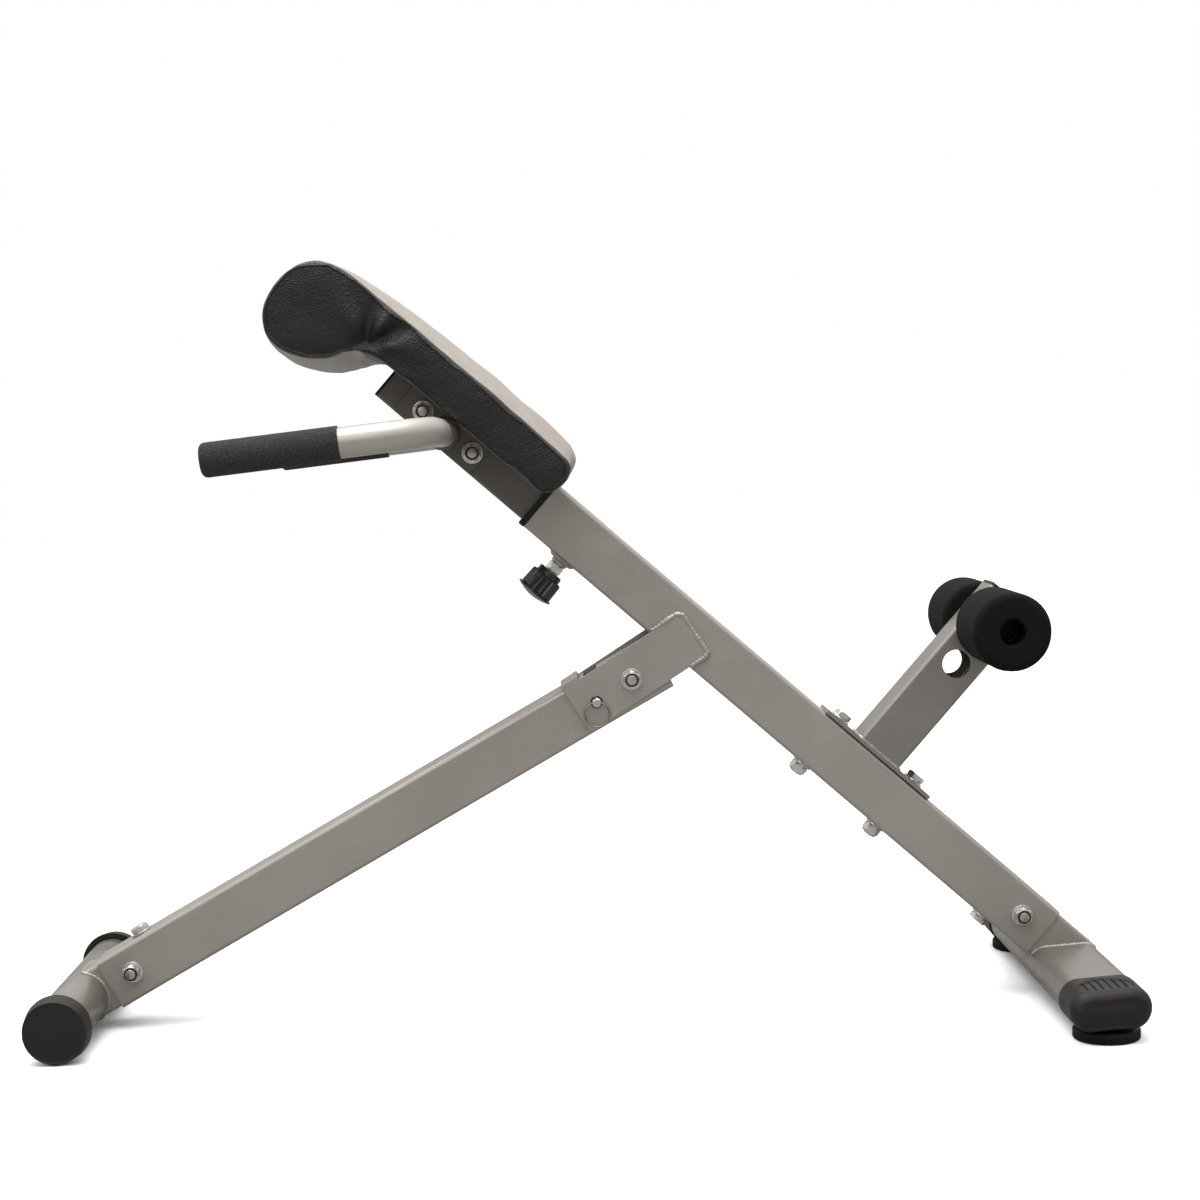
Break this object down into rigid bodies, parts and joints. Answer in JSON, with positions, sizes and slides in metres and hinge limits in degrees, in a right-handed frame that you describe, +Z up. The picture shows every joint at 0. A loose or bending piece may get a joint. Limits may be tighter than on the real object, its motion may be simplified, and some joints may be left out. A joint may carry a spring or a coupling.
{
  "type": "roman chair",
  "caption": "Folding 45 degree back extension bench: inclined square tube with a sliding hip pad and handles, foam ankle rollers, a front leg that folds about a pinned bracket, and screw feet.",
  "frame": {"origin": "on the floor, under the centre of the bounding box", "axes": "+X towards the foot end (ankle rollers and rear stabilizer), -Y the user's left, +Z up"},
  "size_m": [1.0882, 0.635, 0.7747],
  "materials": {
    "silver_paint": "satin metallic silver grey powder coat",
    "grey_paint": "satin dark grey powder coat",
    "zinc": "bright zinc plate",
    "steel": "plain turned steel",
    "black_plastic": "moulded, fine texture",
    "grip_rubber": "speckled foam rubber sleeve",
    "foam": "closed cell foam, matte",
    "leather": "grained synthetic leather, black panels with a taupe grey centre strip",
    "plywood": "raw plywood"
  },
  "bodies": {
    "frame": {"main_tube": "silver_paint", "guide_sleeve": "black_plastic", "fold_bracket": "silver_paint", "pivot_bolt": "zinc", "pivot_nut": "zinc", "rear_stabilizer": "silver_paint", "rear_side_bolt": "zinc", "rear_side_nut": "zinc", "rear_lower_bolt": "zinc", "rear_cap_left": "black_plastic", "rear_cap_right": "black_plastic", "foot_insert_left": "zinc", "foot_insert_right": "zinc", "ankle_post": "silver_paint", "ankle_bolt_lower": "zinc", "ankle_bolt_upper": "zinc", "ankle_nut_lower": "zinc", "ankle_nut_upper": "zinc", "ankle_post_cap": "black_plastic", "roller_tube": "grey_paint", "lock_collar": "silver_paint", "lock_housing": "zinc", "lock_spring": "steel"},
    "front_leg": {"leg_tube": "silver_paint", "pivot_bush": "zinc", "front_stabilizer": "silver_paint", "front_cap_left": "black_plastic", "front_cap_right": "black_plastic", "leg_side_bolt": "zinc", "leg_side_nut": "zinc", "leg_top_bolt": "zinc"},
    "seat": {"seat_post": "grey_paint", "seat_post_cap": "black_plastic", "seat_post_plug": "black_plastic", "handle_left": "silver_paint", "handle_right": "silver_paint", "grip_left": "grip_rubber", "grip_right": "grip_rubber", "handle_bolt_lower": "zinc", "handle_bolt_upper": "zinc", "handle_nut_lower": "zinc", "handle_nut_upper": "zinc", "pad_board": "plywood", "pad_bar_lower": "grey_paint", "pad_bar_upper": "grey_paint", "pad_screw_lower_left": "zinc", "pad_screw_lower_right": "zinc", "pad_screw_upper_left": "zinc", "pad_screw_upper_right": "zinc", "cushion": "leather"},
    "lock": {"lock_knob": "black_plastic", "lock_plunger": "steel"},
    "fold_pin": {"fold_pin": "steel"},
    "pin_ring": {"pin_ring": "steel"},
    "roller_left": {"foam_roller_left": "foam"},
    "roller_right": {"foam_roller_right": "foam"},
    "foot_left": {"foot_stud_left": "zinc"},
    "foot_disc_left": {"foot_disc_left": "black_plastic"},
    "foot_right": {"foot_stud_right": "zinc"},
    "foot_disc_right": {"foot_disc_right": "black_plastic"}
  },
  "joints": [
    {"name": "seat_slide", "type": "slide", "parent": "frame", "child": "seat", "axis": [-0.7401, 0, 0.6725], "range_m": [0, 0.125]},
    {"name": "leg_fold", "type": "hinge", "parent": "frame", "child": "front_leg", "pos_m": [0.06426, 0, 0.34479], "axis": [0, -1, 0], "range_deg": [0, 109]},
    {"name": "lock_pull", "type": "slide", "parent": "frame", "child": "lock", "axis": [-0.6725, 0, -0.7401], "range_m": [0, 0.009], "stiffness_N_per_m": 600, "springref_m": -0.01, "deforming": ["lock_spring"]},
    {"name": "fold_pin_pull", "type": "slide", "parent": "frame", "child": "fold_pin", "axis": [0, -1, 0], "range_m": [0, 0.075]},
    {"name": "ring_swing", "type": "hinge", "parent": "fold_pin", "child": "pin_ring", "pos_m": [0.02793, -0.0366, 0.32236], "axis": [-1, 0, 0], "range_deg": [-8, 150]},
    {"name": "roller_left_spin", "type": "hinge", "parent": "frame", "child": "roller_left", "pos_m": [0.43482, -0.08675, 0.38843], "axis": [0, 1, 0], "continuous": true},
    {"name": "roller_right_spin", "type": "hinge", "parent": "frame", "child": "roller_right", "pos_m": [0.43482, 0.08675, 0.38843], "axis": [0, 1, 0], "continuous": true},
    {"name": "foot_left_lift", "type": "slide", "parent": "frame", "child": "foot_left", "axis": [0, 0, -1], "range_m": [0, 0.0091]},
    {"name": "foot_left_turn", "type": "hinge", "parent": "foot_left", "child": "foot_disc_left", "pos_m": [0.5051, -0.1965, 0], "axis": [0, 0, -1], "range_deg": [0, 2160]},
    {"name": "foot_right_lift", "type": "slide", "parent": "frame", "child": "foot_right", "axis": [0, 0, -1], "range_m": [0, 0.0091]},
    {"name": "foot_right_turn", "type": "hinge", "parent": "foot_right", "child": "foot_disc_right", "pos_m": [0.5051, 0.1965, 0], "axis": [0, 0, -1], "range_deg": [0, 2160]}
  ],
  "couplings": [
    {"joint": "foot_left_lift", "follows": "foot_left_turn", "m_per_rad": 0.00023873},
    {"joint": "foot_right_lift", "follows": "foot_right_turn", "m_per_rad": 0.00023873}
  ]
}
